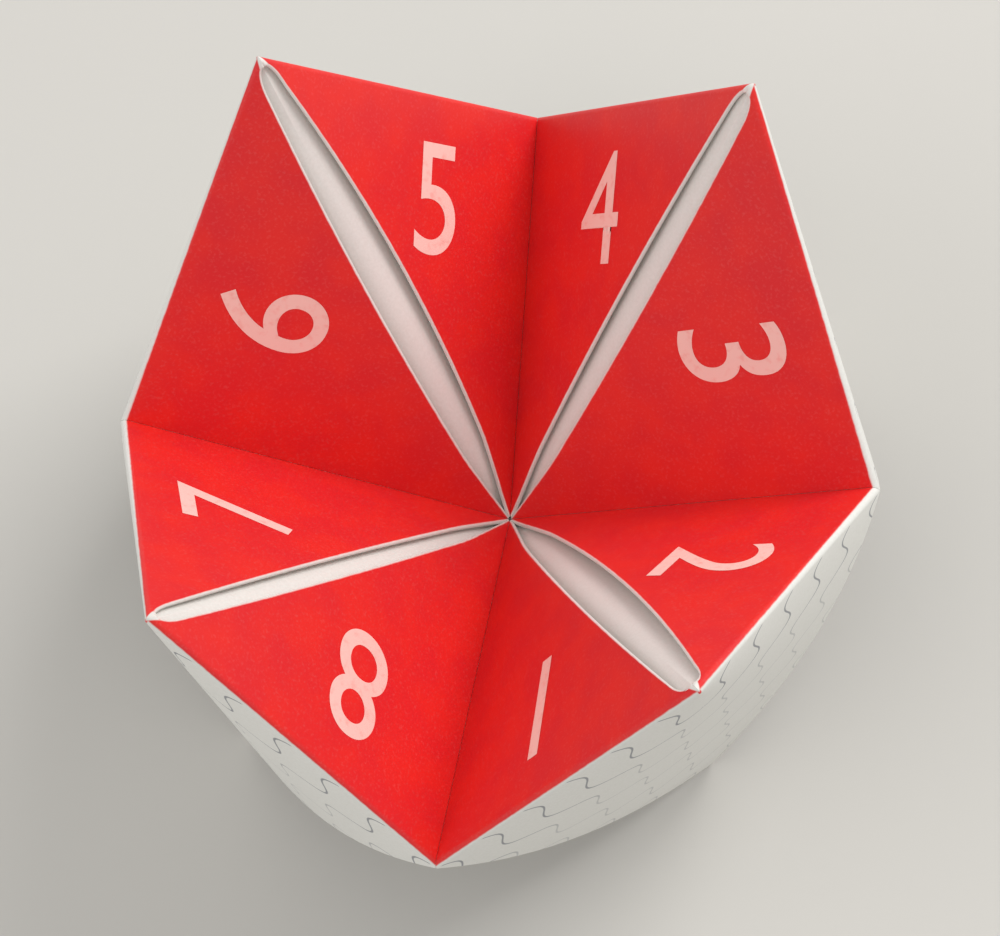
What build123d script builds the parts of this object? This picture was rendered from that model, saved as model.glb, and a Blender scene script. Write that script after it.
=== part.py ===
from build123d import *
from math import atan, atan2, cos, degrees, radians, sin, sqrt, tan
import os

# The sheet: one square of paper, its corners folded to the middle on one side and then on the other
sheet_side = 215.9
paper = 0.20
layer_gap = 0.20

# How far the model is opened: each valley's heading and its rise from the centre, in degrees
valley_headings = [-92.5, 0.0, 90.4, 177.6]
valley_rises = [20.5, 27.6, 18.9, 25.7]

# Each corner: how far its pocket leans out, and how far its inner flaps lift off the base
pocket_leans = [12.6, 14.0, 16.7, 14.7]
flap_lifts = [1.5, 0.6, 0.9, 0.4]

# The slit between the two inner flaps of a corner
slit_at_centre = 1.0
slit_at_middle = [5.0, 3.4, 5.2, 3.2]
slit_at_tip = 3.6
slit_end_margin = 0.5

# The base bends round this radius along each diagonal
ridge_radius = 6.0

# Neighbouring corners are cut apart by this gap, all but the base and the flap layer next to it
seam = 0.20

# How far pieces run on before they are trimmed, and the flat start of each flap at its valley
overrun = 2.0
flat_run = 2.0

quarter = sheet_side / 4
half_diagonal = quarter * sqrt(2)
reach = quarter + overrun

# Two folded layers turn over each rim, one inside the other
inner_radius = layer_gap / 2
outer_radius = inner_radius + paper + layer_gap
flap_thick = 2 * paper + layer_gap

# Midway between a flap's two layers, seen square to the base
between_layers = 1.5 * layer_gap + paper


def unit_heading(heading, rise):
    flat = cos(radians(rise))
    return Vector(flat * cos(radians(heading)), flat * sin(radians(heading)), sin(radians(rise)))


def step(p, u, length):
    return (p[0] + length * u[0], p[1] + length * u[1])


def polar(centre, radius, angle):
    return step(centre, (cos(radians(angle)), sin(radians(angle))), radius)


def arc(centre, radius, first, last):
    mid = (first + last) / 2
    return ThreePointArc(*(polar(centre, radius, angle) for angle in (first, mid, last)))


class Wing:
    """Half of a corner: the layers along the rim that runs from a valley's end up to the tip."""

    def __init__(self, valley, other, lift, slit, lean):
        near, far = quarter * valley, quarter * other
        share = near.dot(far)
        rise = quarter * sqrt(2 * share / (quarter**2 + share))
        up = valley.cross(other).normalized()
        self.tip = (near + far) * (quarter**2 / (quarter**2 + share)) + up * rise
        self.near = near
        self.out = valley
        self.along = (self.tip - near) / quarter
        self.inward = self.out.cross(self.along)
        self.across = (far - near).normalized()
        self.lift = lift
        self.slit = slit

        # The pocket is part of a round cone from the tip, through both rims and its own corner
        middle = ((near + far) / 2 - self.tip).normalized()
        outward = middle.cross(self.across)
        if outward.dot(self.tip) < 0:
            outward = outward * -1
        lean = radians(lean)
        spread = -self.along.dot(middle)
        self.pocket_line = middle * cos(lean) + outward * sin(lean)
        self.cone = atan((1 - spread * cos(lean)) / (spread * sin(lean)))
        self.axis = middle * cos(lean - self.cone) + outward * sin(lean - self.cone)
        self.hub = near + self.inward * inner_radius
        skew = self.inward.dot(self.across) / self.along.dot(self.across)
        self.hub_tip = self.tip + (self.inward - self.along * skew) * inner_radius
        self.corner = self.hub_tip + self.pocket_line * half_diagonal
        self.rim_ray = (self.along * -1 - self.axis * cos(self.cone)) / sin(self.cone)
        corner_ray = (self.pocket_line - self.axis * cos(self.cone)) / sin(self.cone)
        turn = self.rim_ray.cross(corner_ray).dot(self.axis)
        self.sweep = 2 * degrees(atan2(abs(turn), self.rim_ray.dot(corner_ray)))
        far_ray = self.mirrored(self.rim_ray)
        self.first_ray = far_ray if turn > 0 else self.rim_ray
        leave = self.rim_ray * cos(self.cone) - self.axis * sin(self.cone)
        self.leave = degrees(atan2(leave.dot(self.inward), leave.dot(self.out)))

    def mirrored(self, vector):
        return vector - self.across * (2 * vector.dot(self.across))

    def section_plane(self, station):
        return Plane(origin=self.near + self.along * station, x_dir=self.out, z_dir=self.along * -1)

    def base_plane(self, height):
        return Plane(origin=self.near + self.inward * height, x_dir=self.out, z_dir=self.inward)

    def mirror_plane(self):
        return Plane(origin=(0, 0, 0), x_dir=self.tip.normalized(), z_dir=self.across)


def rim_wrap(wing, inner, first, last):
    # One layer turned over the rim, a round strip of the paper's thickness
    hub = (0.0, inner_radius)
    with BuildSketch(wing.section_plane(-overrun)) as section:
        with BuildLine():
            arc(hub, inner, first, last)
            Line(polar(hub, inner, last), polar(hub, inner + paper, last))
            arc(hub, inner + paper, last, first)
            Line(polar(hub, inner + paper, first), polar(hub, inner, first))
        make_face()
    extrude(section.sketch, amount=-(quarter + 2 * overrun))


def flap_layer(wing, inner, thick):
    # Flat for a little at the valley, then tilting evenly up to the tip.
    # Half way along, the flap is half as steep and half as wide, and lifts by wing.lift.
    steepest = atan(4 * wing.lift / quarter)
    low, high = (0.0, inner_radius + inner), (0.0, inner_radius + inner + thick)
    for first, last, slope in ((-overrun, flat_run, 0.0), (flat_run, quarter + overrun, steepest)):
        ends = []
        for station, tilt in ((first, 0.0), (last, slope)):
            back = (-cos(tilt), sin(tilt))
            with BuildSketch(wing.section_plane(station)) as section:
                with BuildLine():
                    Polyline(low, high, step(high, back, reach), step(low, back, reach), close=True)
                make_face()
            ends.append(section.sketch)
        loft(ends, ruled=True)


def slit_outline(wing):
    # From the corner's diagonal out to one side of the slit, with a round end near the tip
    diagonal, aside = (sqrt(0.5), sqrt(0.5)), (sqrt(0.5), -sqrt(0.5))
    centre, tip = (-quarter, 0.0), (0.0, quarter)
    round_end = slit_at_tip / 2
    bottom = step(tip, diagonal, -sqrt(2) * (round_end + slit_end_margin))
    start = step(centre, diagonal, -overrun)
    edge_start = step(start, aside, slit_at_centre / 2)
    edge_middle = step((-quarter / 2, quarter / 2), aside, wing.slit / 2)
    edge_end = step(bottom, aside, round_end)
    ThreePointArc(edge_start, edge_middle, edge_end)
    ThreePointArc(edge_end, step(step(bottom, aside, round_end * sqrt(0.5)), diagonal, round_end * sqrt(0.5)),
                  step(bottom, diagonal, round_end))
    Line(step(bottom, diagonal, round_end), start)
    Line(start, edge_start)


def make_flaps(wing):
    # The two layers of a flap, with the band that joins them along the slit
    with BuildPart() as band:
        flap_layer(wing, inner_radius, flap_thick)
        with BuildSketch(wing.base_plane(0)):
            with BuildLine():
                slit_outline(wing)
            make_face()
            offset(amount=paper)
        extrude(amount=reach, mode=Mode.INTERSECT)
    with BuildPart() as flaps:
        flap_layer(wing, inner_radius, paper)
        flap_layer(wing, outer_radius, paper)
        rim_wrap(wing, inner_radius, 90, -90)
        rim_wrap(wing, outer_radius, 90, wing.leave)
        add(band.part)
        with BuildSketch(wing.base_plane(layer_gap / 2)):
            with BuildLine():
                slit_outline(wing)
            make_face()
        extrude(amount=reach, mode=Mode.SUBTRACT)
    return flaps.part


def make_pocket(wing):
    # The pocket flap is a shell between two cones, ended by its two cut edges
    height = half_diagonal
    start = wing.axis.cross(wing.rim_ray)
    square = start.cross(wing.corner - wing.hub)
    with BuildPart() as pocket:
        for inset, mode in ((outer_radius + paper, Mode.ADD), (outer_radius, Mode.SUBTRACT)):
            apex = wing.hub_tip - wing.axis * (inset / sin(wing.cone))
            plane = Plane(origin=apex + wing.axis * height, x_dir=wing.first_ray, z_dir=wing.axis * -1)
            with Locations(plane):
                Cone(height * tan(wing.cone), 0, height, arc_size=wing.sweep, align=None, mode=mode)
        for way in (square, wing.mirrored(square)):
            split(bisect_by=Plane(origin=wing.corner, z_dir=way), keep=Keep.BOTTOM)
    return pocket.part


def make_base(wing):
    # One strip bent round the diagonal, then trimmed at both rims
    plane = Plane(origin=wing.tip.normalized() * -overrun, x_dir=wing.across, z_dir=wing.tip)
    side = (wing.near - wing.tip * (wing.near.dot(wing.tip) / wing.tip.dot(wing.tip))).normalized()
    x, y = side.dot(wing.across) * reach, side.dot(plane.y_dir) * reach
    tilt = atan2(y, -x)
    end, apex = (paper * sin(tilt), paper * cos(tilt)), paper / cos(tilt)
    with BuildPart() as base:
        with BuildSketch(plane):
            with BuildLine():
                over = FilletPolyline((x, y), (0, 0), (-x, y), radius=ridge_radius + paper)
                under = FilletPolyline((x - end[0], y - end[1]), (0, -apex), (end[0] - x, y - end[1]),
                                       radius=ridge_radius)
                Line(over @ 0, under @ 0)
                Line(over @ 1, under @ 1)
            make_face()
        extrude(amount=half_diagonal + 2 * overrun)
        for out in (wing.out, wing.mirrored(wing.out)):
            split(bisect_by=Plane(origin=out * quarter, z_dir=out), keep=Keep.BOTTOM)
    return base.part


def trim(plane, side):
    # At a valley only the flap layer next to the base runs on into the neighbouring corner
    split(bisect_by=plane, keep=side)
    with BuildSketch(plane) as slot:
        with Locations((quarter / 2, between_layers / plane.seam_sine)):
            Rectangle(2 * reach, overrun, align=(Align.CENTER, Align.MIN))
        with Locations((quarter + inner_radius + paper + layer_gap / 2, 0)):
            Rectangle(overrun, 2 * overrun, align=(Align.MIN, Align.CENTER))
    extrude(slot.sketch, amount=seam / 2, both=True, mode=Mode.SUBTRACT)


def make_corner(wing, near_plane, far_plane):
    # The flaps and their mirror image, each trimmed at its own valley, on one base and pocket
    with BuildPart() as half:
        add(make_flaps(wing))
        split(bisect_by=wing.mirror_plane(), keep=Keep.BOTTOM)
    with BuildPart() as near_side:
        add(half.part)
        trim(near_plane, Keep.BOTTOM)
    with BuildPart() as far_side:
        mirror(half.part, about=wing.mirror_plane())
        trim(far_plane, Keep.TOP)
    with BuildPart() as pocket:
        add(make_pocket(wing))
        trim(near_plane, Keep.BOTTOM)
        trim(far_plane, Keep.TOP)
    with BuildPart() as corner:
        add(make_base(wing))
        split(bisect_by=near_plane, keep=Keep.BOTTOM)
        split(bisect_by=far_plane, keep=Keep.TOP)
        add(pocket.part)
        add(near_side.part)
        add(far_side.part)
    return corner.part


count = len(valley_headings)
valleys = [unit_heading(*pair) for pair in zip(valley_headings, valley_rises)]
wings = [
    Wing(valleys[k], valleys[(k + 1) % count], flap_lifts[k], slit_at_middle[k], pocket_leans[k])
    for k in range(count)
]
planes = []
for k in range(count):
    before, after = wings[k - 1].mirrored(wings[k - 1].along), wings[k].along
    rise = (before + after).normalized()
    plane = Plane(origin=(0, 0, 0), x_dir=valleys[k], z_dir=valleys[k].cross(rise))
    plane.seam_sine = valleys[k].cross(after).dot(rise)
    planes.append(plane)
corners = [
    make_corner(wings[k], planes[k], planes[(k + 1) % count])
    for k in range(count)
]

with BuildPart() as folded_sheet:
    for corner in corners:
        add(corner)

# The origin is under the middle of the part's box
box = folded_sheet.part.bounding_box()
shift = (-box.center().X, -box.center().Y, -box.min.Z)
folded_sheet.part = folded_sheet.part.moved(Location(shift))
folded_sheet.part.label = "folded_sheet"
os.makedirs("parts", exist_ok=True)
export_step(folded_sheet.part, "parts/folded_sheet.step")
print("corner heights", [round(wing.corner.Z - box.min.Z, 2) for wing in wings])
print("centre moved by", [round(value, 3) for value in shift])
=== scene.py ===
# %% [markdown]
# # A paper fortune teller, opened
#
# One square of printed paper is folded to a quarter of its size and pulled open into a game
# for two hands. In this lesson the whole toy is one sheet, so the modelling is one idea:
# a flat grid is laid along the folds, and its UV map stays the flat, printed sheet.

import math

import bpy
from mathutils import Matrix, Vector


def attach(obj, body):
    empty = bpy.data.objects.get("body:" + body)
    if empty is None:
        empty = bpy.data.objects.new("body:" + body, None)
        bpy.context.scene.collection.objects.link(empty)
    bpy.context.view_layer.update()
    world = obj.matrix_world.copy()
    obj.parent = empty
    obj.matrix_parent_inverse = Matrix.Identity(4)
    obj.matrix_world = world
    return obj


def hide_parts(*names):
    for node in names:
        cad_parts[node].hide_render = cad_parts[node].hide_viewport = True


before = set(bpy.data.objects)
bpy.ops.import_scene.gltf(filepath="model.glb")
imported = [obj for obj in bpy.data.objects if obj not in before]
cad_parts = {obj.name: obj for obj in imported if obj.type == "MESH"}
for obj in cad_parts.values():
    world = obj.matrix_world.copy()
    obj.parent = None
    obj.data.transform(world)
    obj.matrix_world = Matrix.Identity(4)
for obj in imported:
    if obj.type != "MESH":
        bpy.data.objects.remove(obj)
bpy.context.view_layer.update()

# %% [markdown]
# ## The sheet and its layers
#
# The sheet is the largest square that a letter page gives. Its corners are folded to the
# middle on one side and then on the other, so a quarter of its side is the length that every
# panel has. Two layers of flap lie over each base panel. Each layer has a height of its own,
# and each fold is a small half circle from one height to the next.

# %% Sizes in millimetres
MM = 0.001
SHEET = 215.9
QUARTER = SHEET / 4
PAPER = 0.20
GAP = 0.20
HUB = GAP / 2

# Middle heights of the layers over the base plane, and the radii of the turns between them
BASE_HIGH = -PAPER / 2
UNDER_HIGH = HUB + GAP / 2 + PAPER / 2
UPPER_HIGH = UNDER_HIGH + PAPER + GAP
INNER_TURN = HUB + PAPER / 2
OUTER_TURN = UPPER_HIGH - HUB
EDGE_TURN = (UPPER_HIGH - UNDER_HIGH) / 2
print("panels", round(QUARTER, 2), "mm, upper layer", round(UPPER_HIGH, 2), "mm over the base")

# %% [markdown]
# ## Half a corner
#
# The four valleys between the corners set how far the toy stands open. Every corner is the
# same twice over: a half, and its mirror image. A half is worked out from the valley beside
# it. One direction runs out along the valley, one runs up along the rim to the tip, and the
# third stands square on the inner panel.

# %% The directions of each half corner
# The heading and the rise of each valley, in degrees
VALLEYS = [(-92.5, 20.5), (0.0, 27.6), (90.4, 18.9), (177.6, 25.7)]

# Where the valleys meet, measured from the middle of the floor under the toy
CENTRE = Vector((0.403, -0.273, 15.703))


class Half:
    """The folded paper from one valley up to the middle of its corner."""

    def __init__(self, valley, other):
        near, far = QUARTER * valley, QUARTER * other
        share = near.dot(far)
        rise = QUARTER * math.sqrt(2 * share / (QUARTER ** 2 + share))
        up = valley.cross(other).normalized()
        self.tip = (near + far) * (QUARTER ** 2 / (QUARTER ** 2 + share)) + up * rise
        self.near, self.far, self.out = near, far, valley
        self.along = (self.tip - near) / QUARTER
        self.inward = self.out.cross(self.along)
        self.across = (far - near).normalized()

    def place(self, x, height, station):
        """A point by its way out past the rim, its height and its station up the rim."""
        return self.near + self.out * x + self.inward * height + self.along * station

    def last_station(self, x, height):
        """Where a line along the rim meets the middle plane of the corner."""
        return -self.place(x, height, 0).dot(self.across) / self.along.dot(self.across)

    def first_station(self, height, wall):
        """Where a layer at that height meets the layers of the neighbouring corner."""
        return -height * self.inward.dot(wall) / self.along.dot(wall)

    def mirrored(self, point):
        """The same point of the corner's other half."""
        return point - self.across * (2 * point.dot(self.across))


def heading(turn, rise):
    flat = math.cos(math.radians(rise))
    turn = math.radians(turn)
    return Vector((flat * math.cos(turn), flat * math.sin(turn), math.sin(math.radians(rise))))


valleys = [heading(*pair) for pair in VALLEYS]
halves = [Half(valleys[k], valleys[(k + 1) % 4]) for k in range(4)]
print("tips at", [tuple(round(v, 1) for v in half.tip + CENTRE) for half in halves])

# %% The plane through each valley in which neighbouring corners meet
walls = []
for k, half in enumerate(halves):
    before = halves[k - 1].mirrored(halves[k - 1].along)
    walls.append(half.out.cross((before + half.along).normalized()))
print(len(walls), "walls")

# %% [markdown]
# ## Where the slit runs
#
# The two flaps of a corner part along the diagonal in a long, narrow lens with a round end
# below the tip. Hands don't fold alike twice, so each slit has its own widths, on either side
# of its diagonal. Every row of the grid is numbered by how far up the diagonal it meets the
# slit.

# %% The slit's edge
DIAGONAL = QUARTER * math.sqrt(2)

# Half widths: of each slit half way up, near side and far side; at its end; at the centre
SLITS = [(1.7, 3.3), (1.7, 1.7), (3.5, 1.9), (1.2, 1.2)]
SLIT_ENDS = [1.8, 1.45, 1.4, 1.15]
SLIT_START = 0.5

# The round end is half an ellipse, and SLIT_MARGIN is the paper between it and the rims
SLIT_END_LONG = 4.0
SLIT_MARGIN = 0.15
ROUND_REACH = math.sqrt((max(SLIT_ENDS) ** 2 + SLIT_END_LONG ** 2) / 2)
ROUND_CENTRE = DIAGONAL - math.sqrt(2) * (ROUND_REACH + SLIT_MARGIN)

# Above its end the two lips still lie this far from the diagonal, so they don't merge
SLIT_LEAST = 0.05


def curve_through(start, middle, end):
    """The half width by its share of the way, on a curve through three half widths."""
    def width(share):
        low = start * (1 - share) * (1 - 2 * share)
        return low + 4 * middle * share * (1 - share) + end * share * (2 * share - 1)
    return width


for half, middles, end in zip(halves, SLITS, SLIT_ENDS):
    half.slit_sides = [curve_through(SLIT_START, middle, end) for middle in middles]
    half.slit_end = end


def slit_half_width(half, far, t):
    if t <= ROUND_CENTRE:
        return half.slit_sides[far]((t - SLIT_START) / (ROUND_CENTRE - SLIT_START))
    inside = max(0.0, 1 - ((t - ROUND_CENTRE) / SLIT_END_LONG) ** 2)
    return max(SLIT_LEAST, half.slit_end * math.sqrt(inside))


print("slits end", round(DIAGONAL - ROUND_CENTRE - SLIT_END_LONG, 2), "mm short of the tips")

# %% The rows of the grid
# The first rows' distances up the diagonal, the number of rows beside the slit and round its
# end, and the last rows' shares of what is left up to the tip
CENTRE_MARKS = [0.0, 1.2, 2.2, 3.6, 5.5]
SLIT_ROWS, END_ROWS = 26, 9
TIP_SHARES = (0.3, 0.6, 0.85)


def share_range(steps):
    return [k / steps for k in range(1, steps + 1)]


def row_marks():
    """Distances up the diagonal, close together at the centre and round the slit's end."""
    first, last = CENTRE_MARKS[-1], ROUND_CENTRE - 2.0
    marks = [*CENTRE_MARKS]
    marks += [first + (last - first) * k / SLIT_ROWS for k in range(1, SLIT_ROWS + 1)]
    marks += [ROUND_CENTRE - 1.0, ROUND_CENTRE]
    for share in share_range(END_ROWS):
        marks.append(ROUND_CENTRE + SLIT_END_LONG * math.sin(math.pi / 2 * share))
    end = marks[-1]
    marks += [end + (DIAGONAL - end) * share for share in TIP_SHARES]
    return [*marks, DIAGONAL]


ROWS = row_marks()
print(len(ROWS), "rows")

# %% [markdown]
# ## How the flaps lift
#
# A crease keeps some spring, so the flaps don't lie flat on the base. Near the centre the
# other flaps hold them down, and towards the tip they rise. A flap stays straight across
# its row, so its lift is a slope that grows with the station.

# %% The slope of a flap
# How far each corner's flaps stand off the base at the slit, half way up
LIFTS = [1.5, 0.6, 0.9, 0.4]

# The slope grows from FLAT_RUN up the rim to LIFT_RUN, which is past the tip
FLAT_RUN = 2.0
LIFT_RUN = QUARTER + 2.0

for half, lift in zip(halves, LIFTS):
    half.steepest = math.atan(4 * lift / QUARTER)


def slope_at(half, station):
    """The way inwards from the rim along a flap, as out and height."""
    f = min(max((station - FLAT_RUN) / (LIFT_RUN - FLAT_RUN), 0.0), 1.0)
    return Vector((-(1 - f) - f * math.cos(half.steepest), f * math.sin(half.steepest)))


print("steepest flaps", [round(math.degrees(half.steepest), 1) for half in halves], "degrees")

# %% [markdown]
# ## The base's ridge
#
# Through each slit the base shows, folded along the diagonal. That fold is soft, so its ridge
# is rounded to a radius. A bevel would cut across the columns of the grid and its UV map, so
# the points beside the ridge are lowered instead.

# %% How far the base is rounded down
RIDGE = 6.1

for half in halves:
    up = half.tip.normalized()
    side = (half.near - up * half.near.dot(up)).normalized()
    half.ridge_tilt = math.acos(min(1.0, abs(side.dot(half.across))))
    half.crown = (half.inward + half.mirrored(half.inward)).normalized()


def ridge_drop(half, aside):
    """The base's way down at that distance from the diagonal."""
    level = aside * math.cos(half.ridge_tilt)
    if level >= RIDGE * math.sin(half.ridge_tilt):
        return 0.0
    round_top = RIDGE / math.cos(half.ridge_tilt) - math.sqrt(RIDGE ** 2 - level ** 2)
    return round_top - level * math.tan(half.ridge_tilt)


print("ridges lowered by", [round(ridge_drop(half, 0.0), 2) for half in halves], "mm")

# %% [markdown]
# ## The pocket's cone
#
# A pocket is one square of paper that hangs from two rims, and it bulges because they lean
# together. Paper bends and doesn't stretch, so the bulge is part of a cone with its point at
# the tip. It starts along the rim, and its middle line leans out from the flat.

# %% The cone of each pocket
LEANS = [12.6, 14.0, 16.7, 14.7]


def shape_pocket(half, lean):
    """The cone that the pocket follows from the rim, and the plane that cuts its foot."""
    middle = ((half.near + half.far) / 2 - half.tip).normalized()
    outward = middle.cross(half.across)
    if outward.dot(half.tip) < 0:
        outward = -outward
    spread = -half.along.dot(middle)
    line = middle * math.cos(lean) + outward * math.sin(lean)
    half.cone = math.atan((1 - spread * math.cos(lean)) / (spread * math.sin(lean)))
    half.axis = middle * math.cos(lean - half.cone) + outward * math.sin(lean - half.cone)

    # Two rulings of the cone, at the rim and in the middle, and the way round between them
    half.ray = (-half.along - half.axis * math.cos(half.cone)) / math.sin(half.cone)
    last = (line - half.axis * math.cos(half.cone)) / math.sin(half.cone)
    side = half.axis.cross(half.ray)
    half.half_sweep = half.ray.angle(last)
    half.side = side if side.dot(last) > 0 else -side

    # The cone's point, set back to leave room for the turn over the rim, and the foot's plane
    skew = half.inward.dot(half.across) / half.along.dot(half.across)
    hub_tip = half.tip + (half.inward - half.along * skew) * HUB
    corner = hub_tip + line * QUARTER * math.sqrt(2)
    half.apex = hub_tip - half.axis * (OUTER_TURN / math.sin(half.cone))
    half.cut_normal = side.cross(corner - (half.near + half.inward * HUB))
    half.cut_reach = (corner - half.apex).dot(half.cut_normal)

    # The angle at which the turn over the rim runs into the cone, and half its flat length
    leave = half.ray * math.cos(half.cone) - half.axis * math.sin(half.cone)
    half.leave = math.atan2(leave.dot(half.inward), leave.dot(half.out))
    half.rim_flat = OUTER_TURN * (math.pi / 2 - half.leave) / 2


for half, lean in zip(halves, LEANS):
    shape_pocket(half, math.radians(lean))
print("half angles", [round(math.degrees(half.cone), 1) for half in halves], "degrees")

# %% [markdown]
# ## One row of the folded strip
#
# Seen from the rim, the paper runs: base, turn, under layer, turn at the slit, upper layer,
# turn over the rim, pocket. One row walks through all seven, and notes beside each point
# where the same point lies on the flat sheet. That second pair of numbers is the UV map.
# A sample row is walked along with the lesson.

# %% Start a row
# In a valley the cut edges stay SEAM apart, and the rows make room for that up to FADE
SEAM = 0.03
FADE = 8.0


class Row:
    """One row: points (place, flat) from the corner's middle line out and over the rim."""

    def __init__(self, half, far, wall, t):
        self.half, self.wall, self.points = half, wall, []
        self.first, self.last = t == ROWS[0], t == ROWS[-1]
        on_slit = SLIT_START + t * (DIAGONAL - SLIT_START) / DIAGONAL
        aside = slit_half_width(half, far, on_slit)

        # Stations up the rim, of the base and pocket and of the flap, and what is left of it
        self.low, self.high = t / math.sqrt(2), (on_slit - aside) / math.sqrt(2)
        if self.last:
            self.low, self.high, aside = QUARTER, QUARTER, 0.0
        self.low_left, self.high_left = QUARTER - self.low, QUARTER - self.high

        # The flap's way inwards, the turn at its edge and its length up to that turn
        self.back = slope_at(half, self.high)
        self.edge_turn = min(EDGE_TURN, self.high_left)
        edge = -QUARTER + self.high + math.sqrt(2) * aside
        self.length = max(0.0, (edge + self.edge_turn) / self.back.x)

    def along(self, x, height, station, gap=0.0):
        """How far up the rim's direction a station is, on the line at x and height."""
        end = self.half.last_station(x, height)
        start = self.half.first_station(height, self.wall) + gap
        return station * end / QUARTER + start * max(0.0, 1 - station / FADE)

    def add(self, x, height, station, flat, rim_height=None, gap=0.0):
        """Add a point. With rim_height its station is taken at the rim, at that height."""
        rim = (x, height) if rim_height is None else (0.0, rim_height)
        place = self.half.place(x, height, self.along(*rim, station, gap))
        self.points.append((place, flat))

    def seam(self, slope):
        """Room for half the paper's thickness beside a layer that leans by so much."""
        return SEAM + self.half.first_station(PAPER / 2 * abs(math.sin(slope)), self.wall)


sample = Row(halves[0], False, walls[0], ROWS[len(ROWS) // 2])
print("sample row from station", round(sample.low, 2), "to", round(sample.high, 2), "mm")

# %% [markdown]
# ### Base and first turn
#
# The base is the inner panel that the flaps lie on. It runs from the ridge to the rim, with
# columns close together where the ridge is round. At the rim it turns over by half a circle
# and becomes the under layer of the flap.

# %% Lay the base and its turn
BASE_SHARES = [0.0, 0.01, 0.025, 0.05, 0.1] + [k / 9 for k in range(1, 10)]
TURN_STEPS = 6

# Half of the flat length of the turn, and the station where the ridge is fully rounded
INNER_FLAT = math.pi * INNER_TURN / 2
RIDGE_START = 3.0

# The share of the base in which a row comes from the ridge's station to the rim's
LEVEL_BY = 0.25

# All bases meet in one point, a little under the middle of the paper
BASE_CENTRE = Vector((0.0, 0.0, BASE_HIGH * 1.15))


def lay_base(row):
    half = row.half
    ridge_along = row.low * half.last_station(0.0, BASE_HIGH) / QUARTER
    ridge_x = -QUARTER
    if not row.first:
        ridge_x = -half.place(0, BASE_HIGH, ridge_along).dot(half.across)
        ridge_x /= half.out.dot(half.across)
    rim_along = row.along(0.0, BASE_HIGH, row.low)
    fade = min(1.0, row.low_left / FADE, row.low / RIDGE_START)
    for share in BASE_SHARES:
        here = ridge_along + (rim_along - ridge_along) * min(1.0, share / LEVEL_BY)
        place = half.place(ridge_x * (1 - share), BASE_HIGH, here)
        drop = ridge_drop(half, -ridge_x * share / math.sqrt(2)) * fade
        wide = row.low_left * (1 - share) * (1 - INNER_FLAT / QUARTER)
        flat = (QUARTER - wide - INNER_FLAT, row.low)
        row.points.append((place - half.crown * drop, flat))
    if row.first:
        row.points[0] = (BASE_CENTRE, row.points[0][1])


def lay_inner_turn(row):
    for share in share_range(TURN_STEPS):
        angle = math.pi * (share - 0.5)
        x, height = INNER_TURN * math.cos(angle), HUB + INNER_TURN * math.sin(angle)
        here = row.low + (row.high - row.low) * share
        row.add(x, height, here, (QUARTER - INNER_FLAT + 2 * INNER_FLAT * share, here))


lay_base(sample)
lay_inner_turn(sample)
print("base and turn have", len(sample.points), "columns")

# %% [markdown]
# ### The flap
#
# A flap is two layers, folded at the slit. In the valley its under layer runs on into the
# next corner and its upper layer is cut, so near the slit's turn the under layer is drawn
# back by as much as the upper layer needs.

# %% Lay the flap's two layers and the turn between them
# The part of a flap beyond FLAP_FREE is drawn back in the valley
FLAP_FREE = 0.95
FLAP_SHARES = [k / 9 for k in range(1, 9)] + [FLAP_FREE, 0.98, 0.992, 1.0]

# Half of the flat length of the slit's turn
EDGE_FLAT = math.pi * EDGE_TURN / 2


def under_flat(row, share):
    wide = INNER_FLAT + max(0.0, row.high_left - INNER_FLAT - EDGE_FLAT) * share
    return QUARTER + wide, row.high


def upper_flat(row, share):
    rim_flat = row.half.rim_flat
    wide = rim_flat + max(0.0, row.high_left - rim_flat - EDGE_FLAT) * share
    return 2 * QUARTER - row.high, QUARTER - wide


def lay_under_layer(row):
    cut_back = row.half.first_station(UPPER_HIGH - UNDER_HIGH, row.wall)
    cut_back += row.seam(math.pi / 2)
    for share in FLAP_SHARES:
        x, rise = row.length * share * row.back.x, row.length * share * row.back.y
        gap = cut_back * max(0.0, (share - FLAP_FREE) / (1 - FLAP_FREE))
        row.add(x, UNDER_HIGH + rise, row.high, under_flat(row, share), UNDER_HIGH, gap)


def lay_slit_turn(row):
    way = row.back.normalized()
    square = Vector((way.y, -way.x))
    height = (UNDER_HIGH + UPPER_HIGH) / 2 + row.length * row.back.y
    middle = Vector((row.length * row.back.x, height))
    under, upper = Vector(under_flat(row, 1.0)), Vector(upper_flat(row, 1.0))
    for share in share_range(TURN_STEPS):
        angle = math.pi * (share - 0.5)
        outer = way * row.edge_turn * math.cos(angle)
        place = middle + outer + square * EDGE_TURN * math.sin(angle)
        level = UNDER_HIGH + (UPPER_HIGH - UNDER_HIGH) * share
        gap = row.seam(angle) + row.half.first_station(UPPER_HIGH - level, row.wall)
        row.add(place.x, place.y, row.high, tuple(under.lerp(upper, share)), level, gap)


def lay_upper_layer(row):
    gap = row.seam(math.pi / 2)
    for share in [*reversed(FLAP_SHARES[:-1]), 0.0]:
        x, rise = row.length * share * row.back.x, row.length * share * row.back.y
        row.add(x, UPPER_HIGH + rise, row.high, upper_flat(row, share), UPPER_HIGH, gap)


lay_under_layer(sample)
lay_slit_turn(sample)
lay_upper_layer(sample)
print("with the flap,", len(sample.points), "columns")

# %% [markdown]
# ### Outer turn and pocket
#
# The upper layer turns over the rim, round the outside of the first turn, and runs down the
# cone as the pocket. The cone is walked by its rulings, the straight lines through its point,
# and each ruling is cut to the share of it that the row has.

# %% Lay the outer turn and the pocket
RIM_STEPS, POCKET_STEPS = 10, 16

# The room beside a cut edge dies away round the pocket with this power
SETTLE = 4


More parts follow.
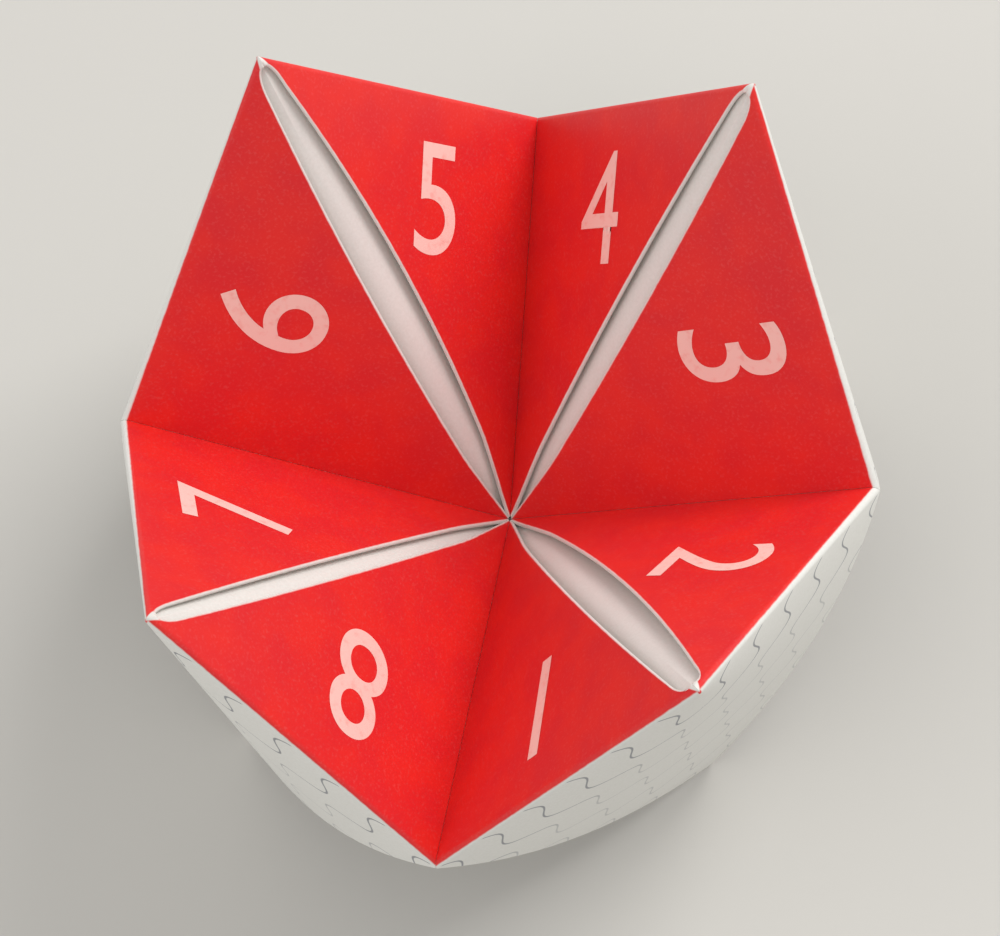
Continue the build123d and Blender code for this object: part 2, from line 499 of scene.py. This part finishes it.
def lay_rim_turn(row):
    half = row.half
    for share in share_range(RIM_STEPS):
        angle = math.pi / 2 + (half.leave - math.pi / 2) * share
        x, height = OUTER_TURN * math.cos(angle), HUB + OUTER_TURN * math.sin(angle)
        here = row.high + (row.low - row.high) * share
        flat = (2 * QUARTER - here, QUARTER - half.rim_flat + 2 * half.rim_flat * share)
        row.add(x, height, here, flat, gap=row.seam(angle))


def lay_pocket(row):
    half = row.half
    start = half.first_station(HUB + OUTER_TURN * math.sin(half.leave), row.wall)
    start = (start + row.seam(half.leave)) * max(0.0, 1 - row.low / FADE)
    for share in share_range(POCKET_STEPS):
        turned = half.half_sweep * share
        radial = half.ray * math.cos(turned) + half.side * math.sin(turned)
        ruling = half.axis * math.cos(half.cone) + radial * math.sin(half.cone)
        ruling = ruling * (half.cut_reach / ruling.dot(half.cut_normal))
        place = half.apex + ruling * (row.low_left / QUARTER)
        place = place + half.along * (start * (1 - share) ** SETTLE)
        if share == 1.0:
            place = place - half.across * place.dot(half.across)
        down = (row.low_left - half.rim_flat) * math.tan(share * math.pi / 4)
        row.points.append((place, (2 * QUARTER - row.low, QUARTER + half.rim_flat + down)))


lay_rim_turn(sample)
lay_pocket(sample)
print("whole row of", len(sample.points), "columns")

# %% Walk one row
LAYERS = [lay_base, lay_inner_turn, lay_under_layer, lay_slit_turn, lay_upper_layer]
LAYERS += [lay_rim_turn, lay_pocket]


def walk_row(half, far, wall, t):
    """All points of a row. The last row, at the tip, lies in the corner's middle plane."""
    row = Row(half, far, wall, t)
    for lay in LAYERS:
        lay(row)
    if row.last:
        return [(p - half.across * p.dot(half.across), flat) for p, flat in row.points]
    return row.points


last = walk_row(halves[0], False, walls[0], ROWS[-1])
print("last row ends at", tuple(round(v, 2) for v in last[-1][0] + CENTRE))

# %% [markdown]
# ## Lay a flat grid along the folds
#
# A real sheet is never stretched, so one grid serves a whole half corner: its rows run from
# the valley to the tip, its columns from the ridge to the pocket's middle. No operator folds
# paper in eight layers, so the grid is added flat and each point is then set in its place.

# %% Fold one half corner
def on_sheet(flat, quadrant, far):
    """A flat point of a half corner as a point of the whole sheet, from 0 to 1."""
    x, y = (flat[1], flat[0]) if far else (flat[0], flat[1])
    for _ in range(quadrant):
        x, y = -y, x
    return 0.5 + x / SHEET, 0.5 + y / SHEET


def fold_half(name, half, wall, quadrant, far):
    rows = [walk_row(half, far, wall, t) for t in ROWS]
    across, up = len(rows[0]) - 1, len(rows) - 1
    bpy.ops.object.select_all(action="DESELECT")
    bpy.ops.mesh.primitive_grid_add(x_subdivisions=across, y_subdivisions=up, size=1)
    strip = bpy.context.object
    strip.name = name
    cells = []
    for vertex in strip.data.vertices:
        i = round((vertex.co.x + 0.5) * across)
        j = round((vertex.co.y + 0.5) * up)
        place, flat = rows[j][i]
        place = half.mirrored(place) if far else place
        vertex.co = (place + CENTRE) * MM
        cells.append(on_sheet(flat, quadrant, far))
    chart = strip.data.uv_layers.active.data
    for loop in strip.data.loops:
        chart[loop.index].uv = cells[loop.vertex_index]
    if far:
        strip.data.flip_normals()
    return strip


strips = []
for k, half in enumerate(halves):
    next_wall = half.mirrored(walls[(k + 1) % 4])
    strips.append(fold_half(f"near_{k}", half, walls[k], k, False))
    strips.append(fold_half(f"far_{k}", half, next_wall, k, True))
print(len(strips), "half corners of", len(strips[0].data.vertices), "points")

# %% [markdown]
# ## One sheet again
#
# The halves are joined, and points that lie together become one, so the sheet is whole
# wherever the paper is: across every valley, ridge and pocket. Its cut edges stay open
# until Solidify gives the paper its thickness and closes them.

# %% Join, merge and thicken
MERGE = 0.02

bpy.ops.object.select_all(action="DESELECT")
for strip in strips:
    strip.select_set(True)
sheet = strips[0]
bpy.context.view_layer.objects.active = sheet
bpy.ops.object.join()
sheet.name = "paper_sheet"
bpy.ops.object.mode_set(mode="EDIT")
bpy.ops.mesh.select_all(action="SELECT")
bpy.ops.mesh.remove_doubles(threshold=MERGE * MM)
bpy.ops.object.mode_set(mode="OBJECT")
bpy.context.view_layer.update()

thick = sheet.modifiers.new("paper", "SOLIDIFY")
thick.thickness = PAPER * MM
thick.offset = 0
thick.material_offset = 1
thick.material_offset_rim = 2
print("sheet of", len(sheet.data.polygons), "faces")

# %% [markdown]
# ## Paper and print
#
# The sheet is plain uncoated paper. On its printed side every panel next to the slits is a
# field of red, and the pockets carry thin grey waves. All of it is drawn on the flat sheet's
# UV map, so ink ends at a crease because the print did. Such a drawing is a long sum of
# nodes, and helpers keep each step of it to one line.

# %% Colours
def linear(red, green, blue):
    """A colour as seen, 0 to 255, as the linear values that Blender works in."""
    def one(value):
        value /= 255
        return value / 12.92 if value <= 0.04045 else ((value + 0.055) / 1.055) ** 2.4
    return one(red), one(green), one(blue)


WHITE = linear(236, 235, 230)
SHADE = linear(222, 220, 213)
RED = linear(231, 38, 32)
DEEP = linear(222, 33, 38)
LINE = linear(120, 122, 130)
print("red ink is", tuple(round(v, 3) for v in RED))

# %% [markdown]
# ### Paper
#
# Paper is a felt of fibres and never quite flat after folding. Fine noise stands for the
# fibres, and slow noise for its unevenness. Both are bump, because neither would show in the
# outline, and they lie on Object coordinates, which no fold stretches.

# %% A finish with the bump of paper
# Noise scales per metre, and the heights of both noises as shares of the bump's distance
FIBRES, WAVES, NOISE_DETAIL = 2600, 42, 3.0
FIBRE_HEIGHT, WAVE_HEIGHT = 0.018, 0.5
BUMP_DISTANCE, BUMP_STRENGTH = 0.001, 0.25


def new_finish(name, roughness, specular):
    material = bpy.data.materials.new(name)
    material.use_nodes = True
    shader = material.node_tree.nodes["Principled BSDF"]
    shader.inputs["Roughness"].default_value = roughness
    shader.inputs["Specular IOR Level"].default_value = specular
    return material, material.node_tree, shader


def maths(tree, operation, *values):
    node = tree.nodes.new("ShaderNodeMath")
    node.operation = operation
    for socket, value in zip(node.inputs, values):
        if isinstance(value, (int, float)):
            socket.default_value = value
        else:
            tree.links.new(value, socket)
    return node.outputs[0]


def noise(tree, chart, scale, detail=NOISE_DETAIL):
    node = tree.nodes.new("ShaderNodeTexNoise")
    node.inputs["Scale"].default_value = scale
    node.inputs["Detail"].default_value = detail
    tree.links.new(chart.outputs["Object"], node.inputs["Vector"])
    return node.outputs["Fac"]


def paper_finish(name, roughness, specular):
    """A finish with the bump of paper, and with its coordinates and fibres for the colour."""
    material, tree, shader = new_finish(name, roughness, specular)
    chart = tree.nodes.new("ShaderNodeTexCoord")
    fibre = noise(tree, chart, FIBRES)
    wave = noise(tree, chart, WAVES, 1.0)
    fine = maths(tree, "MULTIPLY", fibre, FIBRE_HEIGHT)
    slow = maths(tree, "MULTIPLY", wave, WAVE_HEIGHT)
    bump = tree.nodes.new("ShaderNodeBump")
    bump.inputs["Strength"].default_value = BUMP_STRENGTH
    bump.inputs["Distance"].default_value = BUMP_DISTANCE
    tree.links.new(maths(tree, "ADD", fine, slow), bump.inputs["Height"])
    tree.links.new(bump.outputs["Normal"], shader.inputs["Normal"])
    return material, tree, shader, chart, fibre


plain, tree, shader, chart, fibre = paper_finish("plain_paper", roughness=0.75, specular=0.3)
print(plain.name, "with its bump has", len(tree.nodes), "nodes")


# %% The colour of the plain side and the cut edges
def mixed(tree, share, first, second):
    node = tree.nodes.new("ShaderNodeMix")
    node.data_type = "RGBA"
    tree.links.new(share, node.inputs["Factor"])
    for socket, value in ((node.inputs[6], first), (node.inputs[7], second)):
        if isinstance(value, tuple):
            socket.default_value = (*value, 1)
        else:
            tree.links.new(value, socket)
    return node.outputs[2]


tree.links.new(mixed(tree, fibre, SHADE, WHITE), shader.inputs["Base Color"])
print(plain.name, len(tree.nodes), "nodes")

# %% [markdown]
# ### Red panels
#
# The red was printed as far as the creases, and no print is quite in register: white shows
# on one side of each fold. So each panel's red starts a hair inside the slit's crease, runs a
# hair past the rim's, and its edge is roughened by the grain of the paper.

# %% The distance of each point inside the two creases of a red panel
GRAIN, MOTTLE, ROUGH = 900, 160, 0.12

# On four of the panels the red draws back from the rim, by up to this much at the valley
BARE = 0.6

printed, tree, shader, chart, fibre = paper_finish("printed_paper", roughness=0.5, specular=0.45)
flat_sheet = tree.nodes.new("ShaderNodeSeparateXYZ")
tree.links.new(chart.outputs["UV"], flat_sheet.inputs[0])


def from_middle(axis):
    """How far a point is from the middle line of the flat sheet, in millimetres."""
    share = maths(tree, "SUBTRACT", flat_sheet.outputs[axis], 0.5)
    return maths(tree, "ABSOLUTE", maths(tree, "MULTIPLY", share, SHEET))


x, y = from_middle(0), from_middle(1)
wide, slim = maths(tree, "MAXIMUM", x, y), maths(tree, "MINIMUM", x, y)
grain = maths(tree, "SUBTRACT", noise(tree, chart, GRAIN), 0.5)
rough = maths(tree, "MULTIPLY", grain, ROUGH)
past_slit = maths(tree, "SUBTRACT", maths(tree, "ADD", wide, slim), 2 * QUARTER)
past_slit = maths(tree, "MULTIPLY", past_slit, math.sqrt(0.5))
past_slit = maths(tree, "ADD", past_slit, rough)
before_rim = maths(tree, "ADD", maths(tree, "SUBTRACT", QUARTER, slim), rough)
bare = maths(tree, "MULTIPLY", maths(tree, "SUBTRACT", wide, QUARTER), BARE / QUARTER)
bare = maths(tree, "MULTIPLY", maths(tree, "GREATER_THAN", y, x), bare)
before_rim = maths(tree, "SUBTRACT", before_rim, bare)
print("red panels measured with", len(tree.nodes), "nodes")

# %% The red ink
# Where the ink fades in at each crease, in millimetres, and how much of it is worn off
SLIT_INK = (0.12, 0.36)
RIM_INK = (-0.32, -0.08)
WEAR = 0.04

# Between which values of its noise the red turns from deep to light, and a fibre is worn
MOTTLE_STEP = (0.3, 0.7)
WEAR_STEP = (0.5, 0.25)


def step_up(tree, value, low, high):
    """0 below low, 1 above high, and smooth between. It falls where low is the larger."""
    node = tree.nodes.new("ShaderNodeMapRange")
    node.interpolation_type = "SMOOTHSTEP"
    node.inputs["From Min"].default_value = low
    node.inputs["From Max"].default_value = high
    tree.links.new(value, node.inputs["Value"])
    return node.outputs["Result"]


slit_ink, rim_ink = step_up(tree, past_slit, *SLIT_INK), step_up(tree, before_rim, *RIM_INK)
red = mixed(tree, step_up(tree, noise(tree, chart, MOTTLE), *MOTTLE_STEP), DEEP, RED)
thin = maths(tree, "MULTIPLY", step_up(tree, fibre, *WEAR_STEP), WEAR)
ink = maths(tree, "MULTIPLY", slit_ink, rim_ink)
worn = maths(tree, "MULTIPLY", ink, maths(tree, "SUBTRACT", 1.0, thin))
print("red ink starts", SLIT_INK[0], "mm inside the slit's crease")

# %% [markdown]
# ### Grey waves
#
# Thin waves run down from both rims of each pocket, paler towards its middle. A wave is the
# distance to the nearest of evenly spaced lines, bent sideways by a sine of the way down.

# %% The grey waves and the whole print
# From wave to wave, how far each sways and over which length, and half a line's width
PITCH, SWAY, LENGTH, PEN = QUARTER / 6, 2.2, 9.0, 0.2
PEN_EDGE = (PEN * 1.5, PEN * 0.6)

# Where the waves start below the rim, where they pale, and how strong they are
POCKET_START = (0.6, 0.8)
PALER_FROM, PALER_BY, STRONGEST = (8.0, 14.0), 0.5, 0.85

down = maths(tree, "SUBTRACT", slim, QUARTER)
sway = maths(tree, "SINE", maths(tree, "MULTIPLY", down, 2 * math.pi / LENGTH))
bent = maths(tree, "ADD", wide, maths(tree, "MULTIPLY", sway, SWAY))
pen = step_up(tree, maths(tree, "PINGPONG", bent, PITCH / 2), *PEN_EDGE)
pocket = step_up(tree, down, *POCKET_START)
paler = maths(tree, "MULTIPLY", step_up(tree, down, *PALER_FROM), PALER_BY)
pale = maths(tree, "SUBTRACT", STRONGEST, paler)
drawn = maths(tree, "MULTIPLY", maths(tree, "MULTIPLY", pen, pocket), pale)
with_line = mixed(tree, drawn, mixed(tree, fibre, SHADE, WHITE), LINE)
tree.links.new(mixed(tree, worn, with_line, red), shader.inputs["Base Color"])
print(printed.name, len(tree.nodes), "nodes")

# %% Put the finishes on the sheet
SMOOTH_BELOW = 40

for finish in (printed, plain, plain):
    sheet.data.materials.append(finish)
bpy.ops.object.select_all(action="DESELECT")
sheet.select_set(True)
bpy.context.view_layer.objects.active = sheet
bpy.ops.object.modifier_apply(modifier=thick.name)
bpy.ops.object.shade_smooth_by_angle(angle=math.radians(SMOOTH_BELOW))
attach(sheet, "root")
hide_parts("folded_sheet")
print("paper sheet", len(sheet.data.polygons), "faces")

# %% [markdown]
# ## Numbers on the panels
#
# Each red panel asks the player to pick a number. The numerals are flat letters, turned into
# a mesh and cut fine, and then laid on the panel point by point with the same row and rim
# directions, a hair above the ink.

# %% The finish of the numerals
PINK = linear(250, 202, 192)
ROSE = linear(246, 178, 168)

SPECK_STEP = (0.2, 0.5)

numeral_ink, tree, shader, chart, fibre = paper_finish("numeral_ink", 0.65, 0.35)
speck = step_up(tree, noise(tree, chart, GRAIN), *SPECK_STEP)
tree.links.new(mixed(tree, speck, ROSE, PINK), shader.inputs["Base Color"])
print(numeral_ink.name, len(tree.nodes), "nodes")

# %% Lay one numeral on a panel
NUMERAL_HIGH = 15.0
FROM_RIM = 13.5
UP_THE_RIM = 21.0
INK_LIFT = 0.03

# A digit's height as a share of the font's size, how far its outline is widened, how close
# its doubled points are, and into how many pieces an edge is cut, less one
DIGIT_SHARE = 0.72
BOLDER = 0.012
DOUBLED = 0.001
CUTS = 3


def flat_numeral(text):
    """A numeral as a flat mesh in millimetres, cut fine enough to follow a bent panel."""
    bpy.ops.object.select_all(action="DESELECT")
    bpy.ops.object.text_add()
    numeral = bpy.context.object
    numeral.data.body = text
    numeral.data.align_x = "CENTER"
    numeral.data.align_y = "CENTER"
    numeral.data.size = NUMERAL_HIGH / DIGIT_SHARE
    numeral.data.offset = BOLDER
    bpy.ops.object.convert(target="MESH")
    numeral = bpy.context.object
    numeral.name = f"numeral_{text}"
    numeral.data.name = numeral.name
    bpy.ops.object.mode_set(mode="EDIT")
    bpy.ops.mesh.select_all(action="SELECT")
    bpy.ops.mesh.remove_doubles(threshold=DOUBLED)
    bpy.ops.mesh.quads_convert_to_tris()
    bpy.ops.mesh.subdivide(number_cuts=CUTS)
    bpy.ops.object.mode_set(mode="OBJECT")
    return numeral


def lay_numeral(text, half, far):
    numeral = flat_numeral(text)
    sign = 1 if far else -1
    top = UPPER_HIGH + PAPER / 2 + INK_LIFT
    end = half.last_station(0.0, UPPER_HIGH)
    for vertex in numeral.data.vertices:
        station = UP_THE_RIM + sign * vertex.co.x
        x = vertex.co.y - FROM_RIM
        back = slope_at(half, station)
        place = half.place(x, top + x / back.x * back.y, station * end / QUARTER)
        place = half.mirrored(place) if far else place
        vertex.co = (place + CENTRE) * MM
    numeral.data.materials.append(numeral_ink)
    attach(numeral, "root")
    return numeral


numerals = []
for k, half in enumerate(halves):
    numerals.append(lay_numeral(str(2 * k + 1), half, False))
    numerals.append(lay_numeral(str(2 * k + 2), half, True))
print([numeral.name for numeral in numerals])

# %% [markdown]
# ## Floor, light and camera
#
# The toy stands on a pale floor. One wide lamp behind it on the right and one in front on
# the left are soft, like two windows. The camera is where the photograph was taken from.

# %% Floor
FLOOR_WIDE = 6

bpy.ops.object.select_all(action="DESELECT")
bpy.ops.mesh.primitive_plane_add(size=FLOOR_WIDE, location=(0, 0, 0))
floor = bpy.context.object
floor.name = "floor"
ground, tree, shader = new_finish("pale_floor", roughness=0.9, specular=0.5)
shader.inputs["Base Color"].default_value = (*linear(205, 202, 196), 1)
floor.data.materials.append(ground)
print("floor", floor.dimensions.x, "m wide")

# %% Lamps and sky
AIM = Vector((0, 0, 0.04))
SKY = 0.6


def lamp(name, place, size, power):
    bpy.ops.object.light_add(type="AREA", location=place)
    light = bpy.context.object
    light.name = name
    light.data.size = size
    light.data.energy = power
    towards = AIM - Vector(place)
    light.rotation_euler = towards.to_track_quat("-Z", "Y").to_euler()
    return light


lamps = [
    lamp("window_right", (0.55, 0.55, 0.75), size=0.6, power=7.5),
    lamp("window_left", (-0.7, -0.4, 0.8), size=0.9, power=3.0),
]
world = bpy.data.worlds.new("sky")
bpy.context.scene.world = world
world.use_nodes = True
sky = world.node_tree.nodes["Background"]
sky.inputs["Color"].default_value = (1, 1, 1, 1)
sky.inputs["Strength"].default_value = SKY
bpy.context.scene.view_settings.view_transform = "Standard"
print([light.name for light in lamps], "and a sky of", SKY)

# %% Camera
# Its lens, its three directions and its place from the toy's centre fit the photograph
LENS, SENSOR, NEAREST = 100.85, 36.0, 0.01
TO_RIGHT = Vector((0.99063, 0.10783, -0.0839))
UPWARDS = Vector((-0.07511, 0.94277, 0.32485))
BACKWARDS = Vector((0.11412, -0.3155, 0.94203))
FROM_CENTRE = Vector((0.04118, -0.11261, 0.35891))

bpy.ops.object.camera_add()
camera = bpy.context.object
camera.data.lens = LENS
camera.data.sensor_width = SENSOR
camera.data.clip_start = NEAREST
turned = Matrix((TO_RIGHT, UPWARDS, BACKWARDS)).transposed().to_4x4()
turned.translation = CENTRE * MM + FROM_CENTRE
camera.matrix_world = turned
bpy.context.scene.camera = camera
print("camera", round(FROM_CENTRE.length, 3), "m from the centre")
